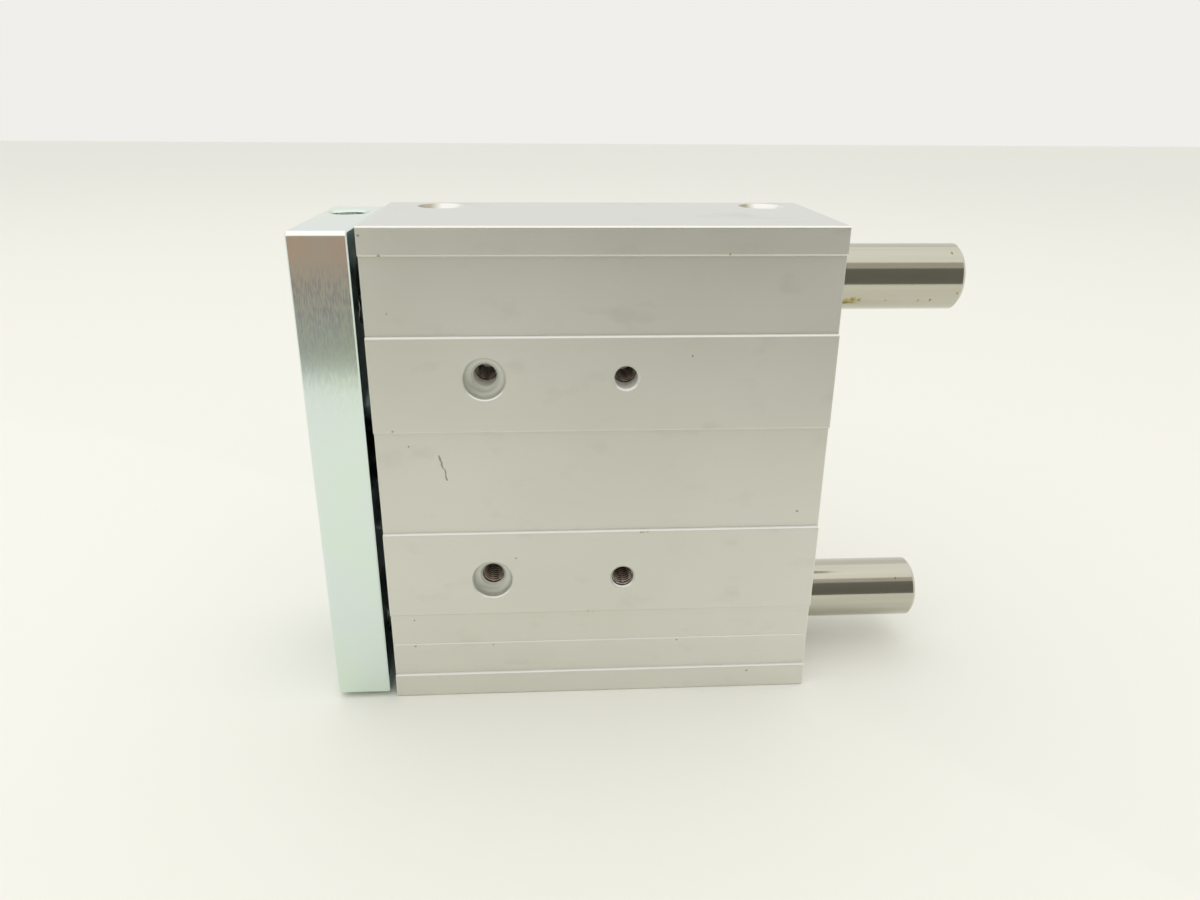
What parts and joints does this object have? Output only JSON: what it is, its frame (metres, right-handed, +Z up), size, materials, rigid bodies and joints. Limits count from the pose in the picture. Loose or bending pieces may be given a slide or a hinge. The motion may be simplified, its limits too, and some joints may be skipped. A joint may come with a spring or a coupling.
{
  "type": "guided pneumatic cylinder",
  "caption": "Compact pneumatic cylinder with a rectangular ported body, side mounting holes and a yoke plate kept square by two guide rods.",
  "frame": {"origin": "under the middle of the whole retracted assembly, on the plane of the body's lower narrow side", "axes": "+X along the stroke from the yoke plate to the guide rods' tails; -Y out of the stepped mounting face; +Z up, out of the narrow side with the two air ports"},
  "size_m": [0.194, 0.06, 0.148],
  "materials": {
    "body_aluminium": "clear anodised, satin",
    "cap_aluminium": "turned, anodised",
    "spacer_aluminium": "turned",
    "plate_steel": "ground and zinc-plated",
    "rod_steel": "ground and hard-chromed",
    "ring_steel": "phosphated spring steel",
    "screw_steel": "blackened",
    "plug_steel": "zinc-plated",
    "bush_bronze": "sintered bronze, oiled",
    "magnet": "plastic-bonded magnet",
    "wear_polymer": "filled polymer band",
    "seal_rubber": "moulded rubber"
  },
  "bodies": {
    "body": {"bearing_cap": "cap_aluminium", "bearing_cap_seal": "seal_rubber", "cylinder_body": "body_aluminium", "end_cap": "cap_aluminium", "end_cap_seal": "seal_rubber", "front_bumper": "seal_rubber", "front_port_plug": "plug_steel", "front_retaining_ring": "ring_steel", "lower_guide_front_bush": "bush_bronze", "lower_guide_rear_bush": "bush_bronze", "lower_guide_ring": "ring_steel", "lower_guide_spacer": "spacer_aluminium", "lower_guide_wiper": "seal_rubber", "rear_bumper": "seal_rubber", "rear_port_plug": "plug_steel", "rear_retaining_ring": "ring_steel", "rod_bush": "bush_bronze", "rod_seal": "seal_rubber", "rod_wiper": "seal_rubber", "upper_guide_front_bush": "bush_bronze", "upper_guide_rear_bush": "bush_bronze", "upper_guide_ring": "ring_steel", "upper_guide_spacer": "spacer_aluminium", "upper_guide_wiper": "seal_rubber"},
    "yoke": {"yoke_plate": "plate_steel", "lower_guide_rod": "rod_steel", "upper_guide_rod": "rod_steel", "piston_rod": "rod_steel", "piston": "cap_aluminium", "piston_seal": "seal_rubber", "piston_magnet": "magnet", "piston_wear_ring": "wear_polymer", "piston_screw": "screw_steel", "lower_guide_screw": "screw_steel", "upper_guide_screw": "screw_steel", "piston_rod_screw": "screw_steel"}
  },
  "joints": [
    {"name": "stroke", "type": "slide", "parent": "body", "child": "yoke", "axis": [-1, 0, 0], "range_m": [0, 0.08]}
  ]
}
